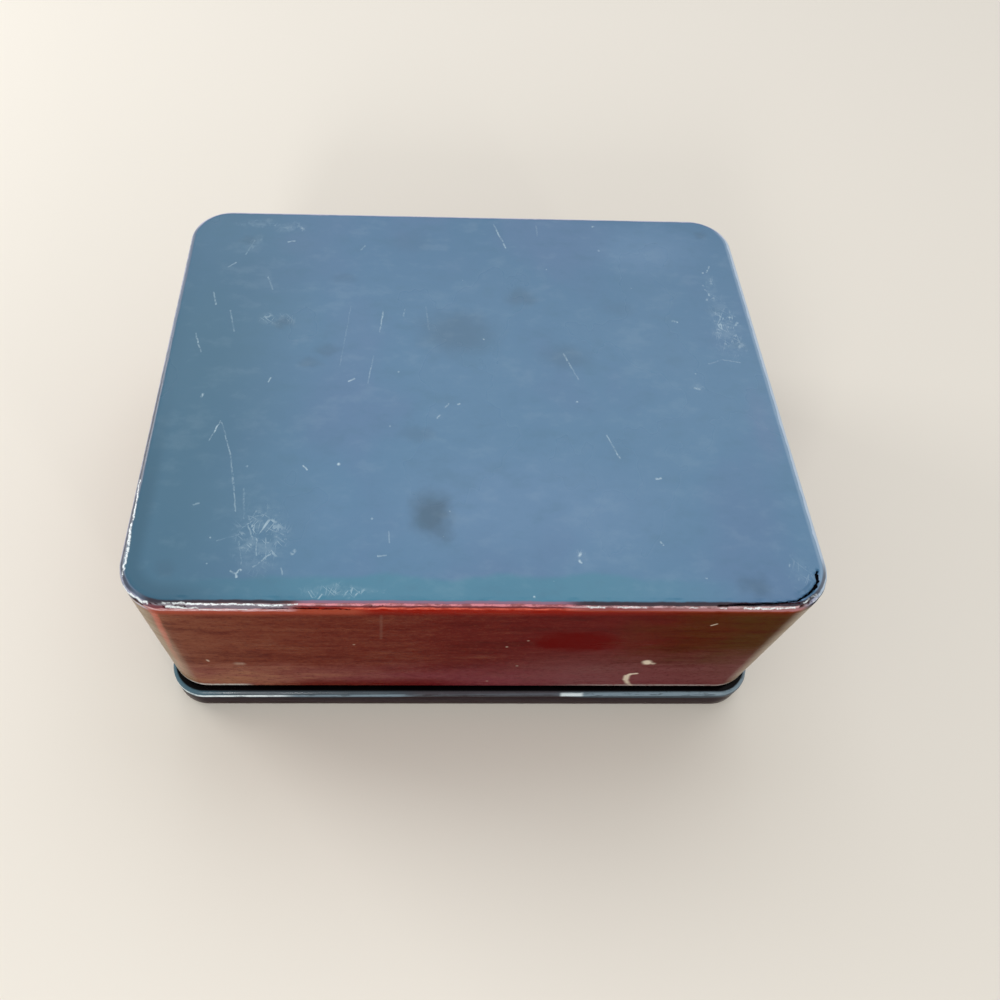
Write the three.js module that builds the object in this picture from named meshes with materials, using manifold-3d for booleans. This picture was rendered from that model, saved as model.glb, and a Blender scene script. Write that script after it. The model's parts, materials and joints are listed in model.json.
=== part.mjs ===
// A lacquered wooden trinket box with a deep lift-off lid, in millimetres, +Z up.
//
// The origin is the middle of the footprint, on the surface that the box stands on, with the
// front towards -Y. The body is an open box on a base board, and a mitred moulding runs round
// the board's edge, proud of the lid in front and behind and flush with it at the sides. The lid
// slips down over the body until its ceiling lands on the body's rim, which leaves a shadow line
// above the moulding.
//
// Lid and body are made alike: four thin boards meet four rounded corner posts, and each joint
// holds a hidden loose tongue, or spline. The lid's top board drops into a rebate, and wooden
// pegs driven up through the base board hold the body's boards down. Lacquer covers it all.

import * as THREE from "three";
import { mergeVertices } from "three/addons/utils/BufferGeometryUtils.js";
import Module from "manifold-3d";

const wasm = await Module();
wasm.setup();

// Lid
const LID_WIDTH = 212;
const LID_DEPTH = 168;
const LID_HEIGHT = 71.6;
const LID_CORNER_RADIUS = 15;
const LID_WALL = 6;
const LID_TOP_THICKNESS = 6;
const LID_LIP = 3.2;
const LID_EDGE_ROUND = 2.4;
const LID_RIM_ROUND = 0.8;

// How the lid meets the body and the moulding
const LID_CLEARANCE = 0.8;
const SHADOW_LINE = 1.8;
const SEAT_GAP = 0.1;

// Body
const BODY_WALL = 5;
const BODY_RIM_ROUND = 1.2;

// Base board, and the moulding grooved round it
const BASE_THICKNESS = 7;
const BASE_RISE = 1.5;
const TONGUE_THICKNESS = 3;
const TONGUE_REACH = 3;
const MOULDING_HEIGHT = 11.6;
const MOULDING_OVERHANG = 2.7;
const MOULDING_CORNER_RADIUS = 13;
const MOULDING_TOP_ROUND = 2;
const MOULDING_FOOT_ROUND = 1.5;

// Joinery
const GLUE_LINE = 0.1;
const POST_LEG = 7;
const SPLINE_THICKNESS = 2;
const SPLINE_REACH = 4;
const SPLINE_FIT = 0.1;
const SPLINE_STOP = 5;
const PEG_DIAMETER = 2.4;
const PEG_FIT = 0.1;
const PEG_GRIP = 9;
const PEG_FROM_END = 22;

// Facets, and how far a cutting shape runs past what it cuts
const CORNER_STEPS = 10;
const ROUND_STEPS = 3;
const PEG_SIDES = 12;
const OVERCUT = 1;

// Where things come out
const BODY_WIDTH = LID_WIDTH - 2 * (LID_WALL + LID_CLEARANCE);
const BODY_DEPTH = LID_DEPTH - 2 * (LID_WALL + LID_CLEARANCE);
const BODY_CORNER_RADIUS = LID_CORNER_RADIUS - LID_WALL - LID_CLEARANCE;
const BASE_TOP = BASE_RISE + BASE_THICKNESS;
const BODY_FOOT = BASE_TOP + GLUE_LINE;
const LID_RIM = MOULDING_HEIGHT + SHADOW_LINE;
const CEILING = LID_HEIGHT - LID_TOP_THICKNESS;
const BODY_HEIGHT = LID_RIM + CEILING - SEAT_GAP - BODY_FOOT;
const BIG = 2 * Math.max(LID_WIDTH, LID_DEPTH, LID_HEIGHT);

const blackLacquer = new THREE.MeshStandardMaterial({ color: 0x3d4754, roughness: 0.25, metalness: 0 });
const redLacquer = new THREE.MeshStandardMaterial({ color: 0x5e1c18, roughness: 0.25, metalness: 0 });
const baseLacquer = new THREE.MeshStandardMaterial({ color: 0x2c2024, roughness: 0.3, metalness: 0 });
const insideLacquer = new THREE.MeshStandardMaterial({ color: 0x1d1413, roughness: 0.35, metalness: 0 });
const cypress = new THREE.MeshStandardMaterial({ color: 0xc9a676, roughness: 0.7, metalness: 0 });
const bamboo = new THREE.MeshStandardMaterial({ color: 0xbf9f62, roughness: 0.6, metalness: 0 });

// The four sides: which axis each board runs along, and which way it lies from the middle.
const SIDES = [
  { name: "front", along: "x", sign: -1 },
  { name: "back", along: "x", sign: 1 },
  { name: "left", along: "y", sign: -1 },
  { name: "right", along: "y", sign: 1 },
];

const CORNERS = [
  { name: "front_left", x: -1, y: -1 },
  { name: "front_right", x: 1, y: -1 },
  { name: "back_left", x: -1, y: 1 },
  { name: "back_right", x: 1, y: 1 },
];

function solidOf(geometry) {
  const bare = geometry.clone();
  bare.deleteAttribute("normal");
  bare.deleteAttribute("uv");
  const merged = mergeVertices(bare, 1e-4);
  return new wasm.Manifold(
    new wasm.Mesh({
      numProp: 3,
      vertProperties: merged.attributes.position.array,
      triVerts: new Uint32Array(merged.index.array),
    }),
  );
}

function geometryOf(solid) {
  const mesh = solid.getMesh();
  const geometry = new THREE.BufferGeometry();
  geometry.setAttribute("position", new THREE.BufferAttribute(mesh.vertProperties, 3));
  geometry.setIndex(new THREE.BufferAttribute(mesh.triVerts, 1));
  geometry.computeVertexNormals();
  return geometry;
}

function block(x0, x1, y0, y1, z0, z1) {
  const box = new THREE.BoxGeometry(Math.abs(x1 - x0), Math.abs(y1 - y0), Math.abs(z1 - z0));
  box.translate((x0 + x1) / 2, (y0 + y1) / 2, (z0 + z1) / 2);
  return solidOf(box);
}

function upright(diameter, x, y, z0, z1) {
  const rod = new THREE.CylinderGeometry(diameter / 2, diameter / 2, z1 - z0, PEG_SIDES);
  rod.rotateX(Math.PI / 2);
  rod.translate(x, y, (z0 + z1) / 2);
  return solidOf(rod);
}

function roundedRectangle(width, depth, radius) {
  const x = width / 2 - radius;
  const y = depth / 2 - radius;
  const outline = new THREE.Shape();
  outline.absarc(x, y, radius, 0, Math.PI / 2, false);
  outline.absarc(-x, y, radius, Math.PI / 2, Math.PI, false);
  outline.absarc(-x, -y, radius, Math.PI, 1.5 * Math.PI, false);
  outline.absarc(x, -y, radius, 1.5 * Math.PI, 2 * Math.PI, false);
  outline.closePath();
  return outline;
}

// An extruded sheet. Each arc gets twice its curve segments, so its facets match a frame's.
function plate(width, depth, radius, z0, z1) {
  const sheet = new THREE.ExtrudeGeometry(roundedRectangle(width, depth, radius), {
    depth: z1 - z0,
    bevelEnabled: false,
    curveSegments: CORNER_STEPS / 2,
  });
  sheet.translate(0, 0, z0);
  return sheet;
}

// A section carried round a rounded rectangle and closed on itself. The section is drawn in
// (distance out from the outside face, height), anticlockwise, so its x is never above 0.
function frame(section, width, depth, radius) {
  const outline = section.extractPoints(ROUND_STEPS).shape;
  if (outline[0].distanceTo(outline.at(-1)) < 1e-6) outline.pop();
  const positions = [];
  const indices = [];
  for (let quarter = 0; quarter < 4; quarter++) {
    const centreX = (quarter === 0 || quarter === 3 ? 1 : -1) * (width / 2 - radius);
    const centreY = (quarter < 2 ? 1 : -1) * (depth / 2 - radius);
    for (let step = 0; step <= CORNER_STEPS; step++) {
      const angle = (quarter + step / CORNER_STEPS) * (Math.PI / 2);
      for (const point of outline) {
        const reach = radius + point.x;
        positions.push(centreX + reach * Math.cos(angle), centreY + reach * Math.sin(angle), point.y);
      }
    }
  }
  const stations = 4 * (CORNER_STEPS + 1);
  const sides = outline.length;
  for (let station = 0; station < stations; station++) {
    for (let side = 0; side < sides; side++) {
      const here = station * sides;
      const next = ((station + 1) % stations) * sides;
      const above = (side + 1) % sides;
      indices.push(here + side, next + side, next + above);
      indices.push(here + side, next + above, here + above);
    }
  }
  const geometry = new THREE.BufferGeometry();
  geometry.setAttribute("position", new THREE.Float32BufferAttribute(positions, 3));
  geometry.setIndex(indices);
  return solidOf(geometry);
}

function piece(name, geometry, material, x = 0, y = 0, z = 0) {
  const mesh = new THREE.Mesh(geometry, material);
  mesh.name = name;
  mesh.position.set(x, y, z);
  return mesh;
}

// The part of a frame that lies on one side, between two corner posts.
function sideRegion(side, halfLength) {
  const near = -halfLength;
  const far = halfLength;
  return side.along === "x"
    ? block(near, far, 0, side.sign * BIG, -BIG, BIG)
    : block(0, side.sign * BIG, near, far, -BIG, BIG);
}

// The joints between the boards and the posts, each with the spline that it holds.
function splineJoints({ width, depth, radius, wall, z0, z1 }) {
  const joints = [];
  for (const side of SIDES) {
    const long = side.along === "x";
    const halfLength = (long ? width : depth) / 2 - radius - POST_LEG;
    const across = side.sign * ((long ? depth : width) / 2 - wall / 2);
    const ends = long ? ["left", "right"] : ["front", "back"];
    ends.forEach((end, index) => {
      const along = (index === 0 ? -1 : 1) * halfLength;
      joints.push({
        side,
        end,
        x: long ? along : across,
        y: long ? across : along,
        lengthX: long ? 2 * SPLINE_REACH : SPLINE_THICKNESS,
        lengthY: long ? SPLINE_THICKNESS : 2 * SPLINE_REACH,
        z0,
        z1,
      });
    });
  }
  return joints;
}

function groove({ x, y, lengthX, lengthY, z0, z1 }) {
  const halfX = lengthX / 2 + SPLINE_FIT;
  const halfY = lengthY / 2 + SPLINE_FIT;
  return block(x - halfX, x + halfX, y - halfY, y + halfY, z0 - SPLINE_FIT, z1 + SPLINE_FIT);
}

// Four boards, four corner posts and eight splines, cut from one frame.
function boxSides(prefix, whole, size, boardMaterial) {
  const meshes = [];
  const joints = splineJoints(size);
  const grooved = joints.reduce((solid, joint) => solid.subtract(groove(joint)), whole);
  const postX = size.width / 2 - size.radius - POST_LEG + GLUE_LINE / 2;
  const postY = size.depth / 2 - size.radius - POST_LEG + GLUE_LINE / 2;
  for (const side of SIDES) {
    const halfLength = (side.along === "x" ? postX : postY) - GLUE_LINE;
    const board = grooved.intersect(sideRegion(side, halfLength));
    meshes.push(piece(`${prefix}_${side.name}_board`, geometryOf(board), boardMaterial));
  }
  for (const corner of CORNERS) {
    const region = block(corner.x * postX, corner.x * BIG, corner.y * postY, corner.y * BIG, -BIG, BIG);
    const post = grooved.intersect(region);
    meshes.push(piece(`${prefix}_corner_post_${corner.name}`, geometryOf(post), boardMaterial));
  }
  for (const { side, end, x, y, lengthX, lengthY, z0, z1 } of joints) {
    const spline = new THREE.BoxGeometry(lengthX, lengthY, z1 - z0);
    const name = `${prefix}_${side.name}_board_spline_${end}`;
    meshes.push(piece(name, spline, cypress, x, y, (z0 + z1) / 2));
  }
  return meshes;
}

// The lid's wall: rounded at the top outside edge, with a rebate inside for the top board.
function lidWallSection() {
  const ledge = CEILING - GLUE_LINE;
  const section = new THREE.Shape();
  section.moveTo(-LID_WALL, 0);
  section.lineTo(-LID_RIM_ROUND, 0);
  section.absarc(-LID_RIM_ROUND, LID_RIM_ROUND, LID_RIM_ROUND, -Math.PI / 2, 0, false);
  section.lineTo(0, LID_HEIGHT - LID_EDGE_ROUND);
  section.absarc(-LID_EDGE_ROUND, LID_HEIGHT - LID_EDGE_ROUND, LID_EDGE_ROUND, 0, Math.PI / 2, false);
  section.lineTo(-LID_LIP, LID_HEIGHT);
  section.lineTo(-LID_LIP, ledge);
  section.lineTo(-LID_WALL, ledge);
  return section;
}

function makeLid() {
  const lid = new THREE.Group();
  const walls = frame(lidWallSection(), LID_WIDTH, LID_DEPTH, LID_CORNER_RADIUS);
  const size = {
    width: LID_WIDTH,
    depth: LID_DEPTH,
    radius: LID_CORNER_RADIUS,
    wall: LID_WALL,
    z0: SPLINE_STOP,
    z1: CEILING - SPLINE_STOP,
  };
  lid.add(...boxSides("lid", walls, size, redLacquer));
  const inset = LID_LIP + GLUE_LINE;
  const top = plate(
    LID_WIDTH - 2 * inset,
    LID_DEPTH - 2 * inset,
    LID_CORNER_RADIUS - inset,
    CEILING,
    LID_HEIGHT,
  );
  lid.add(piece("lid_top_board", top, blackLacquer));
  lid.position.z = LID_RIM;
  return lid;
}

// The pegs stand along the middle of the body's walls: three under each long board, two under
// each short one.
function pegPlaces() {
  const wallX = BODY_WIDTH / 2 - BODY_WALL / 2;
  const wallY = BODY_DEPTH / 2 - BODY_WALL / 2;
  const endX = BODY_WIDTH / 2 - BODY_CORNER_RADIUS - POST_LEG - PEG_FROM_END;
  const endY = BODY_DEPTH / 2 - BODY_CORNER_RADIUS - POST_LEG - PEG_FROM_END;
  return [
    ...[-wallY, wallY].flatMap((y) => [-endX, 0, endX].map((x) => ({ x, y }))),
    ...[-wallX, wallX].flatMap((x) => [-endY, endY].map((y) => ({ x, y }))),
  ];
}

// The body's wall, with both edges of its rim eased so that the lid slips over it.
function bodyWallSection() {
  const shoulder = BODY_HEIGHT - BODY_RIM_ROUND;
  const section = new THREE.Shape();
  section.moveTo(-BODY_WALL, 0);
  section.lineTo(0, 0);
  section.lineTo(0, shoulder);
  section.absarc(-BODY_RIM_ROUND, shoulder, BODY_RIM_ROUND, 0, Math.PI / 2, false);
  section.lineTo(BODY_RIM_ROUND - BODY_WALL, BODY_HEIGHT);
  section.absarc(BODY_RIM_ROUND - BODY_WALL, shoulder, BODY_RIM_ROUND, Math.PI / 2, Math.PI, false);
  return section;
}

function makeBody() {
  const body = new THREE.Group();
  let walls = frame(bodyWallSection(), BODY_WIDTH, BODY_DEPTH, BODY_CORNER_RADIUS);
  for (const { x, y } of pegPlaces()) {
    walls = walls.subtract(upright(PEG_DIAMETER + 2 * PEG_FIT, x, y, -OVERCUT, PEG_GRIP + PEG_FIT));
  }
  const size = {
    width: BODY_WIDTH,
    depth: BODY_DEPTH,
    radius: BODY_CORNER_RADIUS,
    wall: BODY_WALL,
    z0: SPLINE_STOP,
    z1: BODY_HEIGHT - SPLINE_STOP,
  };
  body.add(...boxSides("body", walls, size, insideLacquer));
  body.position.z = BODY_FOOT;
  return body;
}

// The base board, with a tongue all round its edge and a hole for each peg.
function makeBaseBoard() {
  const middle = BASE_RISE + BASE_THICKNESS / 2;
  const tongue = plate(
    BODY_WIDTH + 2 * TONGUE_REACH,
    BODY_DEPTH + 2 * TONGUE_REACH,
    BODY_CORNER_RADIUS + TONGUE_REACH,
    middle - TONGUE_THICKNESS / 2,
    middle + TONGUE_THICKNESS / 2,
  );
  const sheet = plate(BODY_WIDTH, BODY_DEPTH, BODY_CORNER_RADIUS, BASE_RISE, BASE_TOP);
  let board = solidOf(sheet).add(solidOf(tongue));
  for (const { x, y } of pegPlaces()) {
    const hole = upright(PEG_DIAMETER + 2 * PEG_FIT, x, y, BASE_RISE - OVERCUT, BASE_TOP + OVERCUT);
    board = board.subtract(hole);
  }
  return piece("base_board", geometryOf(board), insideLacquer);
}

function makePegs() {
  const length = BASE_THICKNESS + GLUE_LINE + PEG_GRIP;
  return pegPlaces().map(({ x, y }, index) => {
    const peg = new THREE.CylinderGeometry(PEG_DIAMETER / 2, PEG_DIAMETER / 2, length, PEG_SIDES);
    peg.rotateX(Math.PI / 2);
    const name = `base_peg_${String(index + 1).padStart(2, "0")}`;
    return piece(name, peg, bamboo, x, y, BASE_RISE + length / 2);
  });
}

// The moulding round the base before it is fitted to the board: rounded outside edges, and wide
// enough to reach the board on every side.
function mouldingSection() {
  const width = LID_WALL + LID_CLEARANCE + MOULDING_OVERHANG;
  const shoulder = MOULDING_HEIGHT - MOULDING_TOP_ROUND;
  const section = new THREE.Shape();
  section.moveTo(-width, 0);
  section.lineTo(-MOULDING_FOOT_ROUND, 0);
  section.absarc(-MOULDING_FOOT_ROUND, MOULDING_FOOT_ROUND, MOULDING_FOOT_ROUND, -Math.PI / 2, 0, false);
  section.lineTo(0, shoulder);
  section.absarc(-MOULDING_TOP_ROUND, shoulder, MOULDING_TOP_ROUND, 0, Math.PI / 2, false);
  section.lineTo(-width, MOULDING_HEIGHT);
  return section;
}

// The space that the board and its tongue take out of the moulding, with the glue round them.
function boardSpace() {
  const middle = BASE_RISE + BASE_THICKNESS / 2;
  const halfTongue = TONGUE_THICKNESS / 2 + GLUE_LINE;
  const tongueReach = TONGUE_REACH + GLUE_LINE;
  const board = plate(
    BODY_WIDTH + 2 * GLUE_LINE,
    BODY_DEPTH + 2 * GLUE_LINE,
    BODY_CORNER_RADIUS + GLUE_LINE,
    -OVERCUT,
    MOULDING_HEIGHT + OVERCUT,
  );
  const tongue = plate(
    BODY_WIDTH + 2 * tongueReach,
    BODY_DEPTH + 2 * tongueReach,
    BODY_CORNER_RADIUS + tongueReach,
    middle - halfTongue,
    middle + halfTongue,
  );
  return solidOf(board).add(solidOf(tongue));
}

// The space between two mitres: a wedge that opens outwards at 45 degrees from the centres of
// the corner arcs. Each mitre is drawn back by half the glue line, square to its face.
function mitreRegion(side, halfX, halfY) {
  const long = side.along === "x";
  const half = (long ? halfX : halfY) - GLUE_LINE / Math.SQRT2;
  const start = long ? halfY : halfX;
  const wedge = new THREE.Shape();
  wedge.moveTo(-half, start);
  wedge.lineTo(half, start);
  wedge.lineTo(half + BIG, start + BIG);
  wedge.lineTo(-half - BIG, start + BIG);
  const prism = new THREE.ExtrudeGeometry(wedge, { depth: 2 * BIG, bevelEnabled: false });
  prism.translate(0, 0, -BIG);
  const turns = { back: 0, left: 1, front: 2, right: 3 }[side.name];
  prism.rotateZ((turns * Math.PI) / 2);
  return solidOf(prism);
}

function makeMouldings() {
  const depth = LID_DEPTH + 2 * MOULDING_OVERHANG;
  const radius = MOULDING_CORNER_RADIUS;
  const whole = frame(mouldingSection(), LID_WIDTH, depth, radius).subtract(boardSpace());
  return SIDES.map((side) => {
    const region = mitreRegion(side, LID_WIDTH / 2 - radius, depth / 2 - radius);
    return piece(`base_moulding_${side.name}`, geometryOf(whole.intersect(region)), baseLacquer);
  });
}

const box = new THREE.Group();
box.add(makeBaseBoard(), ...makePegs(), ...makeMouldings(), makeBody(), makeLid());

export default box;
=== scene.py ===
import json
import math

import bmesh
import bpy
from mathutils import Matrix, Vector, noise


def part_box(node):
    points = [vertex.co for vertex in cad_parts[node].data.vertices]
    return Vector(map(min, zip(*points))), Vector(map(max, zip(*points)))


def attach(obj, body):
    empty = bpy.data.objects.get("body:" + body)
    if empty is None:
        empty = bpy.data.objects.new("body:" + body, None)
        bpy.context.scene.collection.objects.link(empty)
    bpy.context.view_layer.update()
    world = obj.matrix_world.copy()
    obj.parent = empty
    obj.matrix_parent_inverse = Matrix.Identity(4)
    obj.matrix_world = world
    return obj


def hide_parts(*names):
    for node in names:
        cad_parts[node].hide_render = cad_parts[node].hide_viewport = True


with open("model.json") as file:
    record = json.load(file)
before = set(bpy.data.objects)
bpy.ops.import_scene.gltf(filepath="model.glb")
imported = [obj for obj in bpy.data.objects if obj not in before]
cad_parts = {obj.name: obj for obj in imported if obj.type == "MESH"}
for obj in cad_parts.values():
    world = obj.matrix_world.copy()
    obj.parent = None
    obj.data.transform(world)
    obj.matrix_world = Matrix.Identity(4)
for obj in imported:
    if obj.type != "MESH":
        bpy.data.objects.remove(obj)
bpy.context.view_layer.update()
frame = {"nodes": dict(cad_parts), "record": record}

scene = bpy.context.scene

# The view. The box stands on matt, pale paper and is seen from about 30 cm away, from above and in
# front. The lens is shifted, because the picture is the middle of a wider one. A broad soft window
# lights it from over the back, and small ones draw the bright lines along its edges.
MM = 0.001
CAMERA_PLACE = (-22.2, -177.9, 306.8)
CAMERA_TURN = (33.751, -1.912, -0.517)
CAMERA_LENS = 29.64
CAMERA_SENSOR = 36
CAMERA_SHIFT = (0.0681, -0.0501)
FLOOR_SIZE = 6000
FLOOR_COLOUR = "#E9E3D8"
FLOOR_ROUGHNESS = 0.9
FLOOR_GLOSS = 0.2
AMBIENT_COLOUR = "#F8F7F5"
AMBIENT_LEVEL = 0.58
BACKGROUND_COLOUR = "#F7F6F3"
WINDOWS = {
    # name: (place, aimed at, width, height, colour, watts)
    "back_window": ((150, 700, 1230), (0, 0, 60), 1500, 1000, "#F4F7FF", 7),
    "front_left_window": ((-265, -872, 485), (-75, -82, 85), 200, 260, "#FFFFFF", 3),
    "front_right_window": ((461, -815, 452), (88, -82, 85), 90, 220, "#FFFFFF", 0.7),
    "side_window": ((-822, 378, 425), (-105, -50, 85), 420, 260, "#FFFFFF", 2.8),
}

camera_data = bpy.data.cameras.new("photo_camera")
camera_data.sensor_width = CAMERA_SENSOR
camera_data.lens = CAMERA_LENS
camera_data.shift_x, camera_data.shift_y = CAMERA_SHIFT
camera_data.clip_start = 10 * MM
camera = bpy.data.objects.new("photo_camera", camera_data)
camera.location = Vector(CAMERA_PLACE) * MM
camera.rotation_euler = [math.radians(angle) for angle in CAMERA_TURN]
scene.collection.objects.link(camera)
scene.camera = camera
scene.view_settings.view_transform = "Standard"


def colour(hex_code):
    """The linear colour of an sRGB hex value."""
    shares = [int(hex_code[place:place + 2], 16) / 255 for place in (1, 3, 5)]
    linear = [s / 12.92 if s <= 0.04045 else ((s + 0.055) / 1.055) ** 2.4 for s in shares]
    return (*linear, 1)


def node(tree, kind, inputs=None, **settings):
    """Adds a node. An input is a value, or another node's output to link."""
    new = tree.nodes.new(kind)
    for name, value in settings.items():
        setattr(new, name, value)
    for key, value in (inputs or {}).items():
        if isinstance(value, bpy.types.NodeSocket):
            tree.links.new(value, new.inputs[key])
        else:
            new.inputs[key].default_value = value
    return new


for name, (place, target, width, height, tint, watts) in WINDOWS.items():
    window_data = bpy.data.lights.new(name, "AREA")
    window_data.shape = "RECTANGLE"
    window_data.size = width * MM
    window_data.size_y = height * MM
    window_data.color = colour(tint)[:3]
    window_data.energy = watts
    window = bpy.data.objects.new(name, window_data)
    window.location = Vector(place) * MM
    window.rotation_euler = (Vector(target) - Vector(place)).to_track_quat("-Z", "Y").to_euler()
    scene.collection.objects.link(window)

world = bpy.data.worlds.new("studio")
scene.world = world
world.use_nodes = True
air = world.node_tree
air.nodes.clear()
rays = node(air, "ShaderNodeLightPath")
mirrored = node(
    air,
    "ShaderNodeMath",
    {0: rays.outputs["Is Glossy Ray"], 1: rays.outputs["Is Transmission Ray"]},
    operation="MAXIMUM",
)
seen = node(
    air, "ShaderNodeMath", {0: rays.outputs["Is Camera Ray"], 1: mirrored.outputs[0]}, operation="MAXIMUM"
)
ambient = node(air, "ShaderNodeBackground", {"Color": colour(AMBIENT_COLOUR), "Strength": AMBIENT_LEVEL})
backdrop = node(air, "ShaderNodeBackground", {"Color": colour(BACKGROUND_COLOUR), "Strength": 1})
sky = node(air, "ShaderNodeMixShader", {0: seen.outputs[0], 1: ambient.outputs[0], 2: backdrop.outputs[0]})
node(air, "ShaderNodeOutputWorld", {"Surface": sky.outputs[0]})

floor_mesh = bpy.data.meshes.new("floor")
floor_shape = bmesh.new()
bmesh.ops.create_grid(floor_shape, x_segments=1, y_segments=1, size=FLOOR_SIZE * MM / 2)
floor_shape.to_mesh(floor_mesh)
floor_shape.free()
floor = bpy.data.objects.new("floor", floor_mesh)
scene.collection.objects.link(floor)

floor_paper = bpy.data.materials.new("matt_paper_floor")
floor_paper.use_nodes = True
floor_skin = floor_paper.node_tree.nodes["Principled BSDF"]
floor_skin.inputs["Base Color"].default_value = colour(FLOOR_COLOUR)
floor_skin.inputs["Roughness"].default_value = FLOOR_ROUGHNESS
floor_skin.inputs["Specular IOR Level"].default_value = FLOOR_GLOSS
floor_mesh.materials.append(floor_paper)

# The lid's shape. It is a tray of thin boards and rounded corner posts turned upside down, under
# lacquer that hides the joints. The edge is knocked about, the joint under it has opened in a crack
# at the right front corner, and the attribute "edge" runs over it in mm, 0 at the top of the wall.
LID_CORNER = 15
LID_EDGE = 2.4
LID_RIM_EDGE = 0.8
LID_WALL = 6
LID_TOP = 6
INSIDE_ROUND = 0.6
CORNER_STEPS = 40
EDGE_STEPS = 10
RIM_STEPS = 4
INSIDE_STEPS = 3
INSIDE_MATERIAL = 1
STATION = 0.8
TALL_ROW = 4
FINE_ROW = 0.5
FINE_ROWS = 12
RING = 0.35
RINGS = 16
COARSE_RINGS = [1.2, 1.2, 1.2]
FLAT_EDGE = LID_EDGE * math.pi / 2
SHARP_TURN = 50
# The wear cut into the edge: knocks and ripples, deepest along the front and at its right corner.
WEAR_AREA = (-3, 9)
KNOCK_SIZE = 2.3
KNOCK_START = 0.12
KNOCK_DEPTH = 0.3
RIPPLE_SIZE = 5
RIPPLE_DEPTH = 0.05
FRONT_WEAR = (70, 8)
BACK_SHARE = 0.2
CRACK_DEPTH = 1.1
CRACK_SLOPE = 1.6
WORN_CORNER = (98, -79)
WORN_REACH = 7
WORN_DEPTH = 0.35
WORN_GRAIN = 1.3
# The crack runs from the right side, round the corner, to the front: where it goes, and half its width.
CRACK = [
    ((102.1, -71.8), 0.35),
    ((101.6, -73.1), 0.75),
    ((101.5, -74.8), 0.45),
    ((100.7, -76.1), 0.62),
    ((99.8, -77.3), 0.55),
    ((98.5, -78.4), 0.32),
    ((97.4, -79.2), 0.4),
    ((95.7, -80.2), 0.32),
    ((94.5, -80.9), 0.36),
    ((93.3, -81.5), 0.3),
    ((86, -82.3), 0.28),
    ((78, -82.7), 0.24),
    ((70, -83), 0.2),
]


def together(nodes):
    """The lowest and highest corners of these CAD nodes, in millimetres."""
    corners = [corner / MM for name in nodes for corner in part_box(name)]
    low = Vector([min(corner[axis] for corner in corners) for axis in range(3)])
    high = Vector([max(corner[axis] for corner in corners) for axis in range(3)])
    return low, high


def rounded_sheet(shape, low, high, height, radius):
    """A flat face with round corners at this height, with a point every station along its sides."""
    bmesh.ops.create_grid(shape, x_segments=1, y_segments=1, size=0.5)
    bmesh.ops.scale(shape, vec=(high.x - low.x, high.y - low.y, 1), verts=shape.verts)
    middle = (low + high) / 2
    bmesh.ops.translate(shape, vec=(middle.x, middle.y, height), verts=shape.verts)
    bmesh.ops.bevel(
        shape,
        geom=shape.verts[:],
        offset=radius,
        offset_type="OFFSET",
        affect="VERTICES",
        segments=CORNER_STEPS,
        profile=0.5,
        material=-1,
    )
    for side in [edge for edge in shape.edges if edge.calc_length() > 2 * radius]:
        bmesh.ops.subdivide_edges(shape, edges=[side], cuts=round(side.calc_length() / STATION))


def thicken(shape, height):
    """Draws the one face up into a slab, and gives back its bottom and top faces."""
    drawn = bmesh.ops.extrude_face_region(shape, geom=shape.faces[:])["geom"]
    corners = [item for item in drawn if isinstance(item, bmesh.types.BMVert)]
    bmesh.ops.translate(shape, vec=(0, 0, height), verts=corners)
    bmesh.ops.recalc_face_normals(shape, faces=shape.faces)
    ends = [face for face in shape.faces if abs(face.normal.z) > 0.9]
    return sorted(ends, key=lambda face: face.calc_center_median().z)


def step(shape, face, inward, outward):
    """Draws a face in from its outline and out along its normal, which leaves a band round it."""
    bmesh.ops.inset_individual(
        shape, faces=[face], thickness=inward, depth=outward, use_even_offset=True, use_interpolate=False
    )


def quarter_turn(steps):
    """The moves inward and outward that carry a face through a quarter of a unit circle."""
    turns = [math.pi / 2 * count / steps for count in range(steps + 1)]
    return [
        (math.cos(start) - math.cos(end), math.sin(end) - math.sin(start))
        for start, end in zip(turns, turns[1:])
    ]


def finish_piece(name, shape, body, slot, *materials):
    """Turns a shape in millimetres into a smooth piece in metres that rides on its body."""
    bmesh.ops.scale(shape, vec=(MM, MM, MM), verts=shape.verts)
    mesh = bpy.data.meshes.new(name)
    shape.to_mesh(mesh)
    shape.free()
    for material in materials:
        mesh.materials.append(material)
    mesh.polygons.foreach_set("use_smooth", [True] * len(mesh.polygons))
    mesh.set_sharp_from_angle(angle=math.radians(SHARP_TURN))
    piece = bpy.data.objects.new(name, mesh)
    scene.collection.objects.link(piece)
    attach(piece, body)
    return piece


lid_nodes = [name for name in frame["record"]["behaviour"]["bodies"]["lid"] if "spline" not in name]
lid_low, lid_high = together(lid_nodes)
wall_top = lid_high.z - LID_EDGE
lid = bmesh.new()
edge_layer = lid.verts.layers.float.new("edge")
rounded_sheet(lid, lid_low, lid_high, lid_low.z + LID_RIM_EDGE, LID_CORNER)
tall_part = wall_top - lid_low.z - LID_RIM_EDGE - FINE_ROW * FINE_ROWS
tall_rows = round(tall_part / TALL_ROW)
lid_bottom, lid_top = thicken(lid, tall_part / tall_rows)
for height in [tall_part / tall_rows] * (tall_rows - 1) + [FINE_ROW] * FINE_ROWS:
    step(lid, lid_top, 0, height)
for point in lid.verts:
    point[edge_layer] = point.co.z - wall_top
for count, (inward, outward) in enumerate(quarter_turn(EDGE_STEPS)):
    step(lid, lid_top, LID_EDGE * inward, LID_EDGE * outward)
    for point in lid_top.verts:
        point[edge_layer] = FLAT_EDGE * (count + 1) / EDGE_STEPS
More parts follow.
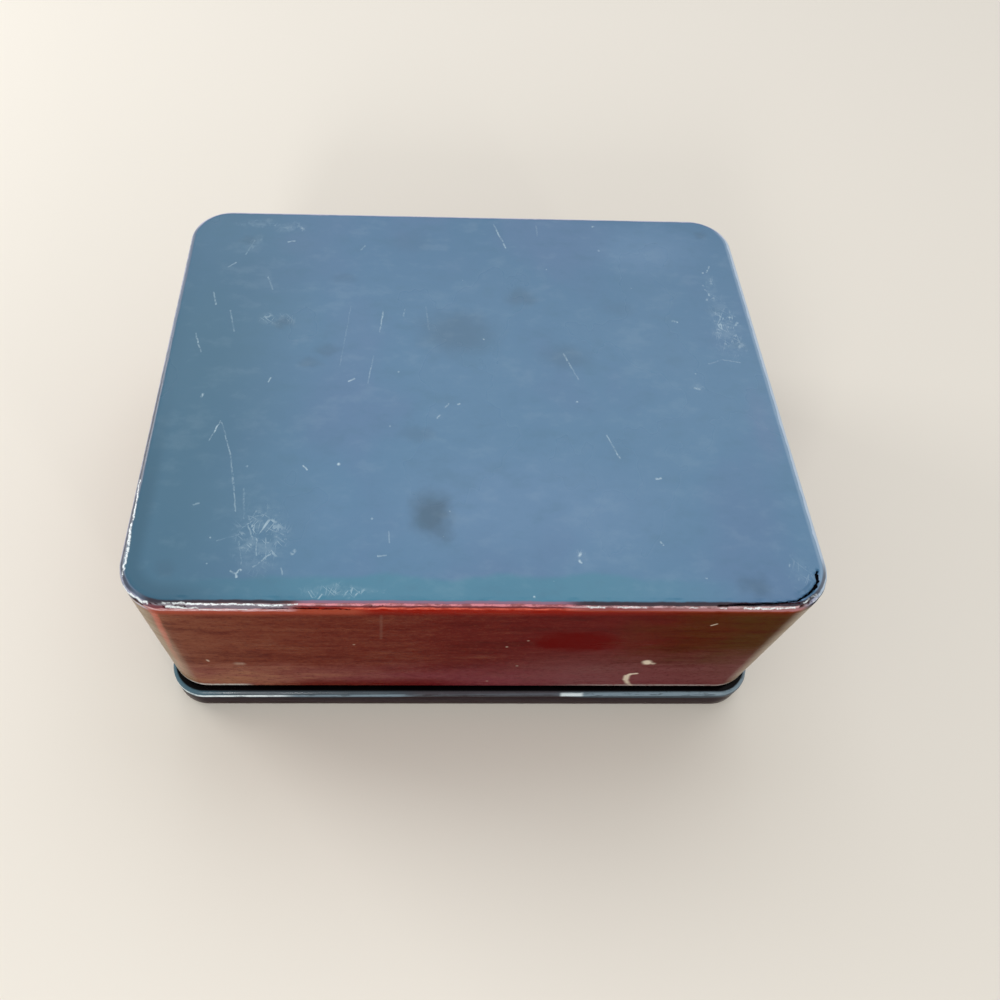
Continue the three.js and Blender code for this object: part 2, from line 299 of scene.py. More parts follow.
for inward in [RING] * RINGS + COARSE_RINGS:
    step(lid, lid_top, inward, 0)
    for point in lid_top.verts:
        point[edge_layer] = point[edge_layer] + inward
for inward, outward in quarter_turn(RIM_STEPS):
    step(lid, lid_bottom, LID_RIM_EDGE * inward, LID_RIM_EDGE * outward)
step(lid, lid_bottom, LID_WALL - LID_RIM_EDGE - INSIDE_ROUND, 0)
lid_bottom.material_index = INSIDE_MATERIAL
for inward, outward in quarter_turn(INSIDE_STEPS):
    step(lid, lid_bottom, INSIDE_ROUND * outward, -INSIDE_ROUND * inward)
step(lid, lid_bottom, 0, -(lid_high.z - LID_TOP - lid_low.z - INSIDE_ROUND))
for point in lid_bottom.verts:
    point[edge_layer] = -wall_top

crack_path = [(Vector(start), Vector(end), width) for (start, width), (end, _) in zip(CRACK, CRACK[1:])]
for point in lid.verts:
    along = point[edge_layer]
    if not WEAR_AREA[0] < along < WEAR_AREA[1]:
        continue
    flat = point.co.xy
    dug = 0.0
    if -1 < along < FLAT_EDGE + 0.5:
        near_front = min(max((-flat.y - FRONT_WEAR[0]) / FRONT_WEAR[1], 0), 1)
        knocks = KNOCK_DEPTH * max(noise.noise(point.co / KNOCK_SIZE) - KNOCK_START, 0)
        ripple = RIPPLE_DEPTH * (0.5 + 0.5 * noise.noise(point.co / RIPPLE_SIZE))
        dug = (BACK_SHARE + (1 - BACK_SHARE) * near_front) * (knocks + ripple)
    for start, end, width in crack_path:
        run = end - start
        share = min(max((flat - start).dot(run) / run.length_squared, 0), 1)
        away = (flat - start - run * share).length
        if away < width and along > 2:
            dug = max(dug, CRACK_DEPTH * min(1, CRACK_SLOPE * (1 - away / width)))
    corner = (flat - Vector(WORN_CORNER)).length
    if corner < WORN_REACH and -1 < along < 6:
        dug += WORN_DEPTH * (1 - corner / WORN_REACH) * (0.5 + noise.noise(point.co / WORN_GRAIN))
    point.co = point.co - point.normal * max(dug, 0)

# The lid's lacquer. Brown-red on the sides and black on top, where hand polish and years of light
# have dulled it to a clouded bloom, and the top is painted slate blue, partly that bloom and partly
# a painted reflection of a bright sky. The sides carry painted reflections of the table. The edges
# show the red and pink undercoats through the lacquer, with painted highlights and painted
# reflections of the dark room along them, and it is scratched. Its gloss is soft: it shows windows
# as pale, slightly blurred shapes.
SLATE = "#467293"
SLATE_PALE = "#507799"
SLATE_LILAC = "#4D6F92"
SLATE_BACK = "#3E6B8D"
SLATE_TEAL = "#37768E"
SLATE_SHADE = "#32617A"
SLATE_EDGE = "#23546C"
EDGE_LAVENDER = "#B6B8D2"
EDGE_SLATE = "#5B7088"
EDGE_PALE = "#CCDCEC"
DARK_SMUDGE_AND_REFLECTION = "#294D64"
SCRATCH = "#B4CBD6"
WALL_RED = "#550402"
WALL_RUST = "#652B18"
WALL_UMBER = "#432600"
WALL_WINE = "#400201"
WALL_BLOOD = "#560100"
WALL_MAUVE = "#703038"
WALL_TAN = "#8C5E44"
WALL_CLAY = "#6A3C3C"
CORNER_REFLECTION_TAN = "#857050"
RIM_HIGHLIGHT = "#B9B6B0"
GLOW_RED = "#8A1402"
GLOW_RUST = "#98442F"
LINE_ORANGE = "#D0604C"
LINE_DARK = "#2A0406"
LINE_ROSE = "#6A1620"
LINE_PINK = "#D6828C"
LINE_PALE_PINK = "#D2ABB0"
LINE_DULL_PINK = "#AC7478"
LINE_LILAC = "#8E6E88"
LINE_MAUVE = "#76727E"
LINE_PLUM = "#25202E"
CHIP_AND_HIGHLIGHT_WHITE = "#E6EEF0"
CREAM_PAINT = "#C7B8A4"
CRACK_PAINTED_SHADE = "#050408"
HAIR_TURNS = (-0.5, -0.1, 0.9)
HAIR_CLOUD = (2.6, 20, 5)
HAIR_WIDTH = 0.012
DUST_SPACING = 8
MIST_RELIEF = 0.4
GRAIN_RELIEF = 0.15
RELIEF_STRENGTH = 0.5
BLOOD_MIDDLE = (32.3, -84, 57.6)
BLOOD_HALF = (17, 80, 9)
REFLECTION_LINE_LEAN = -0.063
REFLECTION_LINE_SHIFT = 4.8

# Scratches, ticks and specks on the top: the two ends, half the width and how much each one shows.
MARKS = [
    ((-82.8, -19), (-85.5, -27), 0.35, 0.8),
    ((-82.4, -19.6), (-78, -32), 0.4, 0.45),
    ((-78, -32), (-75.3, -45), 0.5, 0.35),
    ((-75.3, -45), (-73.7, -53), 0.4, 0.4),
    ((-72.2, -45), (-71, -55.5), 0.5, 0.2),
    ((-71.2, -59), (-68.2, -56), 0.35, 0.5),
    ((-68.3, -55), (-64.8, -54), 0.35, 0.35),
    ((-66.5, -57.5), (-58.4, -61), 0.35, 0.3),
    ((-69.4, -58), (-67.5, -62.5), 0.4, 0.45),
    ((-66.5, -62.3), (-65.9, -68), 0.4, 0.5),
    ((-63.6, -62), (-62.8, -70.5), 0.35, 0.35),
    ((-78.1, -63.2), (-71.7, -61), 0.35, 0.25),
    ((-71.3, -64), (-69.8, -71), 0.35, 0.3),
    ((-66.4, -71.7), (-61.7, -67.5), 0.4, 0.5),
    ((-58.2, -72), (-57.7, -74), 0.4, 0.5),
    ((-72.8, -73.1), (-71.2, -73.9), 0.55, 1),
    ((-69.9, -72.6), (-71.2, -73.9), 0.5, 1),
    ((-71.2, -73.9), (-70.8, -75), 0.5, 0.9),
    ((-55.4, -67.3), (-54.7, -66.3), 0.75, 0.85),
    ((-87, -50.8), (-85.3, -50.3), 0.5, 0.35),
    ((-54.5, -36.2), (-53.1, -37.8), 0.4, 1),
    ((-29.9, -67.8), (-27.4, -67.6), 0.4, 1),
    ((-26.8, -59.7), (-26.4, -63.5), 0.35, 0.3),
    ((-81, 67), (-83.6, 59), 0.45, 0.3),
    ((-89.4, 52.1), (-86.8, 54.6), 0.45, 0.45),
    ((-68.1, 66.5), (-65.6, 67.1), 0.5, 0.6),
    ((-40, 62.6), (-38.3, 65), 0.5, 0.4),
    ((-73.9, 47.2), (-71.6, 41), 0.5, 0.4),
    ((-93, 38.7), (-91.3, 33), 0.5, 0.7),
    ((-85.8, 30), (-83.2, 20), 0.5, 0.3),
    ((-96.5, 18.7), (-93.6, 10.3), 0.45, 0.75),
    ((-30.6, 30.7), (-31.6, 21), 0.45, 0.5),
    ((-22.9, 32), (-23.3, 28.7), 0.45, 0.35),
    ((-15.1, 33.3), (-14, 22.3), 0.45, 0.2),
    ((-42.5, 32.7), (-45, 5.3), 0.35, 0.15),
    ((-33.6, 9.4), (-35.1, -2.5), 0.4, 0.35),
    ((-41.6, -1.9), (-39.8, -0.6), 0.45, 0.7),
    ((-68.9, -2.6), (-68.3, -0.7), 0.4, 0.6),
    ((-90.5, -9.2), (-90.3, -8.1), 0.6, 1),
    ((12.1, 78.5), (16.2, 65.3), 0.5, 0.6),
    ((29.1, 78.4), (29.2, 72.6), 0.5, 0.2),
    ((75.2, 28.4), (77, 27.8), 0.55, 0.9),
    ((33.6, 11.8), (37.6, 0.2), 0.45, 0.5),
    ((77.9, -2.7), (79.2, -3.1), 0.8, 0.75),
    ((93.1, 53.8), (94.6, 57.1), 0.45, 0.5),
    ((91.6, 53.5), (91.6, 53.5), 0.6, 0.8),
    ((90.3, 46.8), (90.6, 46.6), 0.6, 0.7),
    ((90.6, 44.4), (90.9, 44), 0.6, 0.7),
    ((91.7, 42.4), (91.6, 41.6), 0.55, 0.7),
    ((90.3, 39.3), (90.5, 39.6), 0.6, 0.7),
    ((84.9, 8.2), (90.1, 10.3), 0.4, 0.3),
    ((90.1, 10.3), (96.3, 9.1), 0.4, 0.35),
    ((44.6, -23.3), (47.8, -32.7), 0.4, 0.65),
    ((58.2, -40), (59.9, -39.7), 0.5, 0.8),
    ((55.9, -62.4), (56.6, -63.5), 0.4, 0.6),
    ((30.5, -67.4), (31.1, -66.6), 0.7, 0.9),
    ((30.6, -68.9), (30.9, -69.7), 0.65, 0.85),
    ((94.4, -69.3), (93.7, -70.6), 0.4, 0.5),
    ((-49.5, -79.6), (-48.4, -81.4), 0.3, 0.6),
    ((-45.7, -80.2), (-46.7, -81.7), 0.35, 0.7),
    ((-42.3, -78.9), (-41.1, -80.4), 0.35, 0.5),
    ((-38.4, -79.2), (-39.6, -80.9), 0.3, 0.6),
    ((-35, -79.5), (-36.2, -81), 0.35, 0.7),
    ((-72.1, -36.8), (-72.1, -36.8), 0.6, 0.8),
    ((-43.2, -35.5), (-43.2, -35.5), 0.7, 1),
    ((51.9, 78.4), (51.9, 78.4), 0.8, 0.8),
    ((52.5, 64.7), (52.5, 64.7), 0.7, 0.6),
    ((5.4, 18), (5.4, 18), 0.6, 0.7),
    ((36, -9.5), (36, -9.5), 0.6, 0.9),
    ((97.2, 30.6), (97.2, 30.6), 0.75, 1),
    ((99.4, 27.8), (98.4, 26.7), 0.65, 1),
    ((95.5, 25.9), (95.5, 25.9), 0.7, 0.8),
    ((92.9, 17.6), (92.9, 17.6), 0.8, 0.5),
    ((67.8, -74.6), (67.8, -74.6), 0.6, 0.8),
    ((16, -80.6), (16, -80.6), 0.5, 0.9),
    ((-11.6, -16.9), (-10.9, -15.8), 0.5, 1),
    ((-8.9, -12.6), (-7.7, -10.9), 0.5, 0.8),
    ((-4.5, -11.1), (-3.9, -10.8), 0.55, 0.6),
    ((-27.3, -20.5), (-27.3, -20.5), 0.6, 0.6),
]

# Soft dark patches in the dulled coat, one of them a painted reflection of a dark thing: the middle,
# the half lengths and how much each one shows.
PATCHES = [
    ((-13.2, -53.6), (9.3, 11.6), 0.78),
    ((-11.5, -58.5), (7, 5), 0.5),
    ((-66.5, 24), (5, 4), 0.4),
    ((-45, 47.5), (6, 4), 0.2),
    ((-56, 6), (6, 3), 0.28),
    ((-50, 11.5), (7, 3.5), 0.3),
    ((-4, 21), (20, 15), 0.4),
    ((-21, 67.6), (12, 9), 0.14),
    ((20.4, 38.7), (9, 6), 0.34),
    ((34, 10.5), (12, 9), 0.3),
    ((56, 34), (9, 6), 0.14),
    ((82.3, -76.5), (7, 5.5), 0.42),
    ((-91.7, -72), (5, 4), 0.25),
    ((-18, -24), (9, 4), 0.26),
    ((94.7, 75.7), (4, 3), 0.3),
    ((-83, 67), (5, 4), 0.25),
]
# Where it is paler, or lilac, and where it is scuffed to fine pale flecks, given the same way.
PALE_PATCHES = [((17, -52), (62, 30), 1), ((-48, -55), (16, 12), 0.3), ((70, 66), (34, 20), 0.9)]
LILAC_PATCHES = [((-63.6, 65.9), (12, 9), 0.7), ((98, -20), (7, 24), 0.7), ((-40, 20), (14, 26), 0.4)]
SCUFFS = [
    ((94.5, 26), (7, 20), 0.5),
    ((93.3, 44), (3, 13), 0.3),
    ((-80, 76.5), (12, 3), 0.5),
    ((-68, 74.5), (7, 4.5), 0.45),
    ((-80.5, 66), (4, 5), 0.35),
    ((-69, 25.5), (8, 4.5), 0.4),
    ((-65, -61.5), (10.5, 15), 0.6),
    ((-40, -79.5), (16, 2.6), 0.45),
    ((97, -72), (6, 9), 0.22),
    ((78.5, -3), (3, 3), 0.5),
    ((30.5, -67.8), (2.5, 3), 0.6),
]

# Flecks, drips and rubs on the front: their ends to the right and up, half the width and the strength.
FRONT_MARKS = [
    ((59.9, 39.4), (60.5, 38.2), 2.3, 1.4),
    ((61.4, 38), (62.6, 37.6), 1.3, 0.7),
    ((59.3, 27.4), (57.4, 26.8), 1.1, 1.2),
    ((57.4, 26.8), (56.5, 25), 1.3, 1.3),
    ((56.5, 25), (57, 21), 1.6, 1.4),
    ((57, 21), (58.5, 17.2), 1.4, 0.9),
    ((58.5, 17.2), (60.6, 14.2), 1.2, 0.6),
    ((-28.6, 78.5), (-29, 60), 0.8, 0.05),
    ((-37.7, 54.6), (-37.7, 54.6), 0.7, 0.4),
    ((-86.7, 40), (-86.4, 39), 0.7, 0.6),
    ((-77.2, 36.5), (-76, 36.5), 2.2, 0.25),
    ((11.2, 53), (11.2, 53), 0.7, 0.6),
    ((17.4, 58.5), (17.4, 58.5), 0.7, 0.45),
    ((16.6, 35), (16.6, 35), 0.8, 0.4),
    ((71.6, 71.8), (72.9, 73), 0.6, 0.8),
    ((7.8, 19), (7.8, 19), 0.7, 0.5),
]

# Where the edge has chips down to its pale ground, with painted highlights traced along it in the
# same white, and where it is dented dark: both ends as points in space, half the width and the
# strength.
CHIPS_AND_HIGHLIGHTS = [
    ((-104.9, -42, 84.6), (-104.5, -49.3, 84.8), 0.4, 1.2),
    ((-104.5, -49.3, 84.8), (-104.2, -56.3, 84.9), 0.45, 1.3),
    ((-104.6, -57.6, 84.8), (-103.9, -65.5, 85), 0.6, 1.5),
    ((-103.9, -65.5, 85), (-103.8, -72.3, 84.9), 0.6, 1.5),
    ((-103.8, -72.3, 84.9), (-103.9, -74.4, 84.6), 0.45, 1.2),
    ((-103.9, -77, 82.7), (-103.3, -77.9, 82.7), 0.35, 1),
    ((-103.2, -77.6, 83.3), (-101.7, -79.4, 83.2), 0.6, 1.5),
    ((-101.7, -79.4, 83.2), (-100.6, -80.1, 83.8), 0.6, 1.5),
    ((-100.6, -80.1, 83.8), (-98.5, -81.3, 84.1), 0.6, 1.5),
    ((-98.5, -81.3, 84.1), (-97, -82.4, 83.8), 0.65, 1.5),
    ((-97, -82.4, 83.8), (-95.6, -82.4, 84.3), 0.55, 1.3),
    ((-95.6, -82.4, 84.3), (-95.5, -83, 83.8), 0.5, 1.2),
    ((-90, -83.7, 83.6), (-85.6, -83.8, 83.5), 0.8, 1.3),
    ((-91, -83, 84.5), (-84.8, -83, 84.5), 0.45, 0.9),
    ((-84.6, -83.2, 84.4), (-74, -83.2, 84.4), 0.42, 1.5),
    ((-73.6, -83.2, 84.4), (-65.5, -83.3, 84.3), 0.42, 1.5),
    ((-65.6, -83.3, 84.3), (-57, -83.5, 84.1), 0.45, 1.5),
    ((-55.4, -83.3, 84.3), (-52.7, -83.1, 84.5), 0.35, 0.9),
    ((-86, -84, 83.2), (-81, -84, 83.2), 0.5, 1),
    ((-80.8, -84, 82.2), (-74.4, -84, 82.1), 0.5, 1),
    ((-73.4, -84, 82.1), (-67.2, -84, 82.4), 0.45, 0.9),
    ((31, -83.5, 84.1), (36.4, -83.5, 84.1), 0.45, 0.9),
    ((40.4, -83.5, 84.1), (48.6, -83.5, 84.1), 0.42, 0.9),
    ((61.4, -83.5, 84), (63.8, -83.5, 84), 0.35, 0.7),
    ((70.3, -83.6, 84), (72.4, -83.6, 84), 0.38, 0.9),
    ((77.7, -83.6, 83.9), (82.1, -83.6, 83.9), 0.5, 1.4),
    ((82.6, -83.6, 83.9), (87.5, -83.5, 83.9), 0.5, 1.4),
    ((88.3, -83.4, 84), (92.5, -83.2, 84.1), 0.48, 1.3),
    ((95.4, -82.2, 84.6), (97.4, -80.9, 84.8), 0.42, 0.9),
    ((97.4, -80.9, 84.8), (99.3, -79.3, 84.9), 0.35, 0.7),
    ((99.3, -79.3, 84.9), (101.1, -78.8, 84.5), 0.4, 0.9),
    ((101.1, -78.8, 84.5), (101.4, -79.5, 83.8), 0.4, 0.8),
    ((101.2, -79.8, 83.6), (98.7, -81.3, 83.8), 0.4, 0.9),
    ((98.9, -80.1, 84.6), (100.4, -79.3, 84.6), 0.35, 0.6),
]
DENTS = [
    ((-101.2, -79.9, 82.3), (-99.3, -81.4, 82.7), 1, 2),
    ((-99.3, -81.4, 82.7), (-97.5, -82.6, 82.5), 1, 2),
    ((-95.1, -82.7, 84.3), (-94, -83.1, 84.1), 0.42, 1),
    ((-93.1, -83.1, 84.4), (-92.2, -83.5, 84), 0.42, 1),
    ((-91.1, -83.6, 83.9), (-90.6, -83.9, 83.4), 0.4, 1),
    ((-87.4, -83.3, 84.3), (-84.6, -83.7, 83.8), 0.55, 1.2),
    ((-79, -83.8, 83.6), (-72, -83.8, 83.6), 0.3, 0.4),
    ((-62.5, -84, 83), (-55.5, -84, 83), 0.5, 1),
    ((-53.6, -83.9, 83.2), (-46.6, -83.9, 83.2), 0.6, 1.2),
    ((-46.2, -84, 83), (-37.6, -84, 82.8), 0.5, 1.1),
    ((-33.6, -83.4, 84.2), (-28.2, -83.4, 84.2), 0.4, 1),
    ((76.2, -82.5, 84.8), (85.1, -82.5, 84.8), 0.6, 0.9),
    ((85.1, -82.5, 84.8), (94.1, -81.9, 84.9), 0.65, 1.1),
    ((94.1, -83.1, 84.1), (98.1, -81.4, 84.3), 0.65, 1.2),
]

# The sockets that a Mix node uses for colours, and how every soft edge rises.
FACTOR, UNDER, OVER, BLEND = 0, 6, 7, 2
EASED = {"interpolation_type": "SMOOTHSTEP", "clamp": False}

# One mark: its mask is greatest on the line from its start along its run, and gone at its width.
mark_group = bpy.data.node_groups.new("mark_on_lacquer", "ShaderNodeTree")
for name in ("Place", "Start", "Along", "Run"):
    mark_group.interface.new_socket(name, in_out="INPUT", socket_type="NodeSocketVector")
for name in ("Width", "Strength"):
    mark_group.interface.new_socket(name, in_out="INPUT", socket_type="NodeSocketFloat")
mark_group.interface.new_socket("Mask", in_out="OUTPUT", socket_type="NodeSocketFloat")
given = node(mark_group, "NodeGroupInput").outputs
offset = node(
    mark_group, "ShaderNodeVectorMath", {0: given["Place"], 1: given["Start"]}, operation="SUBTRACT"
).outputs[0]
share = node(mark_group, "ShaderNodeVectorMath", {0: offset, 1: given["Along"]}, operation="DOT_PRODUCT")
after_start = node(mark_group, "ShaderNodeMath", {0: share.outputs["Value"], 1: 0}, operation="MAXIMUM")
before_end = node(mark_group, "ShaderNodeMath", {0: after_start.outputs[0], 1: 1}, operation="MINIMUM")
reach = node(
    mark_group, "ShaderNodeVectorMath", {0: given["Run"], "Scale": before_end.outputs[0]}, operation="SCALE"
)
away = node(mark_group, "ShaderNodeVectorMath", {0: offset, 1: reach.outputs[0]}, operation="DISTANCE")
fade = node(
    mark_group,
    "ShaderNodeMapRange",
    {"Value": away.outputs["Value"], "From Min": given["Width"], "From Max": 0, "To Max": given["Strength"]},
    **EASED,
)
node(mark_group, "NodeGroupOutput", {"Mask": fade.outputs[0]})


def new_material(name):
    """An empty material, its tree, and where each point of the object is, in millimetres."""
    material = bpy.data.materials.new(name)
    material.use_nodes = True
    tree = material.node_tree
    tree.nodes.clear()
    place = node(tree, "ShaderNodeTexCoord").outputs["Object"]
    place = node(tree, "ShaderNodeVectorMath", {0: place, "Scale": 1 / MM}, operation="SCALE").outputs[0]
    return material, tree, place


def marks(tree, where, ends):
    """The greatest of the marks' masks. A mark is a line between two points in mm, or a dot at one."""
    total = 0.0
    for start, end, width, strength in ends:
        run = Vector(end) - Vector(start)
        mark = node(tree, "ShaderNodeGroup", node_tree=mark_group)
        tree.links.new(where, mark.inputs["Place"])
        mark.inputs["Start"].default_value = start
        mark.inputs["Run"].default_value = run
        mark.inputs["Along"].default_value = run / max(run.length_squared, 0.01)
        mark.inputs["Width"].default_value = width
        mark.inputs["Strength"].default_value = strength
        total = node(tree, "ShaderNodeMath", {0: total, 1: mark.outputs[0]}, operation="MAXIMUM").outputs[0]
    return total


def rise(tree, value, start, end, height=1.0, base=0.0):
    """A smooth rise from the base to the height as the value goes from start to end."""
    inputs = {"Value": value, "From Min": start, "From Max": end, "To Min": base, "To Max": height}
    return node(tree, "ShaderNodeMapRange", inputs, **EASED).outputs[0]


def laid_over(tree, under, over, mask):
    """One colour over another, as far as the mask lets it."""
    inputs = {FACTOR: mask, UNDER: under, OVER: over}
    return node(tree, "ShaderNodeMix", inputs, data_type="RGBA").outputs[BLEND]


def sums(tree, operation, *values):
    """The values put together in turn by one operation, such as MAXIMUM."""
    total = values[0]
    for value in values[1:]:
        total = node(tree, "ShaderNodeMath", {0: total, 1: value}, operation=operation).outputs[0]
    return total


def times(tree, *values):
    """The values multiplied, such as masks that all have to let a colour through."""
    return sums(tree, "MULTIPLY", *values)


def cloud(tree, where, sizes, detail=3, roughness=0.5):
    """Noise with clouds of these sizes along x, y and z, in millimetres."""
    scaled = node(tree, "ShaderNodeMapping", {"Vector": where, "Scale": [1 / size for size in sizes]})
    inputs = {"Vector": scaled.outputs[0], "Scale": 1, "Detail": detail, "Roughness": roughness}
    return node(tree, "ShaderNodeTexNoise", inputs).outputs["Fac"]


def jogged(tree, where, size, width):
    """Each place moved to and fro by noise of this size, over this width in all, in millimetres."""
    jog = node(tree, "ShaderNodeTexNoise", {"Vector": where, "Scale": 1 / size, "Detail": 3}).outputs["Color"]
    jog = node(tree, "ShaderNodeVectorMath", {0: jog, 1: (0.5, 0.5, 0.5)}, operation="SUBTRACT").outputs[0]
    inputs = {0: jog, 1: (width, width, width), 2: where}
    return node(tree, "ShaderNodeVectorMath", inputs, operation="MULTIPLY_ADD").outputs[0]


def patch_mask(tree, where, rows):
    """The greatest of the masks of oval patches: the middle, the half lengths and the strength."""
    total = 0.0
    for (x, y), (half_x, half_y), strength in rows:
        sizes = (1 / half_x, 1 / half_y, 0)
        inputs = {"Vector": where, "Location": (-x / half_x, -y / half_y, 0), "Scale": sizes}
        reach = node(tree, "ShaderNodeMapping", inputs)
        away = node(tree, "ShaderNodeVectorMath", {0: reach.outputs[0]}, operation="LENGTH").outputs["Value"]
        total = sums(tree, "MAXIMUM", total, rise(tree, away, 1, 0.2, strength))
    return total


def moved(tree, value, by, width):
    """A value moved to and fro by noise, over this width in all."""
    inputs = {0: by, 1: width, 2: -width / 2}
    shift = node(tree, "ShaderNodeMath", inputs, operation="MULTIPLY_ADD").outputs[0]
    return sums(tree, "ADD", value, shift)


lid_lacquer, tree, mm = new_material("rubbed_red_and_black_lacquer")
axes = node(tree, "ShaderNodeSeparateXYZ", {0: mm}).outputs
edge = node(tree, "ShaderNodeAttribute", attribute_name="edge").outputs["Fac"]

# The dulled top coat, painted slate blue as bloom and as a painted reflection of a bright sky:
# clouded with lilac, darker along the left and towards the back, teal at the front, with soft dark
# patches, one of them a painted reflection of a dark thing, a darker ring round the left front
# corner that is a painted reflection of the dark room, and a pale rim down the right side that is a
# painted highlight.
mist = cloud(tree, mm, (48, 60, 60), 4)
warped = jogged(tree, mm, 6, 7)
weave = cloud(tree, mm, (11, 7, 9), 5, 0.6)
coat = laid_over(tree, colour(SLATE), colour(SLATE_BACK), rise(tree, axes["Y"], -20, 90))
coat = laid_over(tree, coat, colour(SLATE_PALE), patch_mask(tree, warped, PALE_PATCHES))
coat = laid_over(tree, coat, colour(SLATE_LILAC), rise(tree, mist, 0.42, 0.66, 0.8))
coat = laid_over(tree, coat, colour(SLATE_LILAC), patch_mask(tree, warped, LILAC_PATCHES))
sway = cloud(tree, mm, (22, 22, 22))
from_front = moved(tree, axes["Y"], sway, 9)
from_left = moved(tree, axes["X"], sway, 9)
strip = times(tree, rise(tree, from_front, -73.5, -76, 0.85), rise(tree, from_left, 92, 25))
coat = laid_over(tree, coat, colour(SLATE_TEAL), strip)
left_shade = times(tree, rise(tree, from_left, -36, -96), rise(tree, axes["Y"], 84, 10, 0.95, 0.6))
coat = laid_over(tree, coat, colour(SLATE_SHADE), left_shade)
# Painted reflection: one of these dark patches stands for a dark thing mirrored in the top.
coat = laid_over(tree, coat, colour(DARK_SMUDGE_AND_REFLECTION), patch_mask(tree, warped, PATCHES))
coat = laid_over(tree, coat, colour(SLATE_SHADE), rise(tree, weave, 0.5, 0.72, 0.24))
coat = laid_over(tree, coat, colour(SCRATCH), rise(tree, weave, 0.5, 0.26, 0.05))
# Painted reflection: a darker ring round the left front corner stands for the dark room mirrored in the
# rounding.
near_left = times(tree, rise(tree, from_left, -72, -92), rise(tree, axes["Y"], 0, -56, 1, 0.1))
ring = times(tree, rise(tree, edge, 10, 5.5, 0.9), near_left)
coat = laid_over(tree, coat, colour(SLATE_EDGE), ring)
# Painted highlight: a pale rim down the right side.
right_side = rise(tree, axes["X"], 99, 103)
pale_rim_highlight = times(tree, rise(tree, edge, 4.6, 3.6, 0.22), right_side)
coat = laid_over(tree, coat, colour(EDGE_PALE), pale_rim_highlight)

# Scratches and specks on the top, a little wider than real ones so that they show, and broken up
# along their length. The scuffs are hairlines in three directions, torn by noise, with specks and
# haze between them, and fine dust lies over it all.
wobbly = jogged(tree, mm, 2.5, 1)
on_top = [((*start, lid_high.z), (*end, lid_high.z), width, much) for start, end, width, much in MARKS]
top_marks = marks(tree, wobbly, on_top)
breaks = rise(tree, cloud(tree, mm, (0.8, 0.8, 0.8), 2), 0.3, 0.55)
fades = rise(tree, cloud(tree, mm, (5, 5, 5), 2), 0.36, 0.6, 1, 0.4)
top_marks = times(tree, top_marks, breaks, fades)
hairs = 0.0
for turn in HAIR_TURNS:
    inputs = {"Vector": mm, "Rotation": (0, 0, turn), "Scale": HAIR_CLOUD, "Location": (0, 0, 40 * turn)}
    turned = node(tree, "ShaderNodeMapping", inputs, vector_type="TEXTURE").outputs[0]
    winding = cloud(tree, turned, (1, 1, 1), 1)
    hair = node(tree, "ShaderNodeMath", {0: winding, 1: 0.5, 2: HAIR_WIDTH}, operation="COMPARE")
    hairs = sums(tree, "MAXIMUM", hairs, hair.outputs[0])
torn = rise(tree, cloud(tree, mm, (3.5, 3.5, 3.5), 2), 0.46, 0.6)
scuffs = times(
    tree,
    patch_mask(tree, warped, SCUFFS),
    sums(
        tree,
        "ADD",
        times(tree, hairs, torn, 0.8),
        rise(tree, cloud(tree, wobbly, (2.4, 1.8, 2), 3, 0.75), 0.58, 0.74, 0.6),
        rise(tree, cloud(tree, mm, (4, 3, 3), 4, 0.7), 0.4, 0.64, 0.22),
    ),
)
top_marks = sums(tree, "MAXIMUM", top_marks, scuffs)
dust = node(tree, "ShaderNodeTexVoronoi", {"Vector": mm, "Scale": 1 / DUST_SPACING}, feature="F1").outputs
chance = node(tree, "ShaderNodeSeparateColor", {0: dust["Color"]}).outputs[0]
dust_size = rise(tree, chance, 0.6, 1, 0.05)
specks = times(tree, sums(tree, "LESS_THAN", dust["Distance"], dust_size), 0.35)
top_marks = sums(tree, "MAXIMUM", top_marks, specks)
coat = laid_over(tree, coat, colour(SCRATCH), top_marks)
ragged = jogged(tree, mm, 1.4, 1.2)
sparkle = rise(tree, cloud(tree, mm, (0.9, 0.9, 0.6), 2, 0.7), 0.34, 0.52, 1, 0.1)
# Painted highlights: the white lines along the edge are pale chips and painted highlights together.
chips_and_highlights = marks(tree, ragged, CHIPS_AND_HIGHLIGHTS)
chips_and_highlights = sums(tree, "MINIMUM", times(tree, chips_and_highlights, sparkle), 1)
coat = laid_over(tree, coat, colour(CHIP_AND_HIGHLIGHT_WHITE), chips_and_highlights)
top_relief = {"Height": mist, "Distance": MIST_RELIEF * MM, "Strength": RELIEF_STRENGTH}
top_skin = node(
    tree,
    "ShaderNodeBsdfPrincipled",
    {
        "Base Color": coat,
        "Roughness": rise(tree, mist, 0.3, 0.7, 0.36, 0.26),
        "Normal": node(tree, "ShaderNodeBump", top_relief).outputs[0],
        "Specular IOR Level": 0.45,
    },
).outputs[0]

# The sides: red in the middle of the front, rust to its left and umber to its right, with tan in the
# grain towards the left, brushed along the grain; the rust, umber and tan are a painted reflection
# of the lit table. The foot is mauve, tan to the left and clay to the right, a painted reflection of
# the table along the bottom of the wall, and there is a blood-red patch on the front. Its corners
# are painted tan as a painted reflection of the table, with a painted orange reflection line down
# the left one where the rounded corner meets the flat front, and a pale rim that is a painted
# highlight.
grain = cloud(tree, mm, (24, 24, 4), 6, 0.7)
blotch = cloud(tree, mm, (14, 14, 9), 4, 0.6)
flecks = cloud(tree, mm, (3, 3, 0.9), 5, 0.7)
speckle = cloud(tree, mm, (1.6, 1.6, 0.9), 3, 0.75)
swayed_x = moved(tree, axes["X"], blotch, 60)
swayed_corner = moved(tree, axes["X"], blotch, 3)
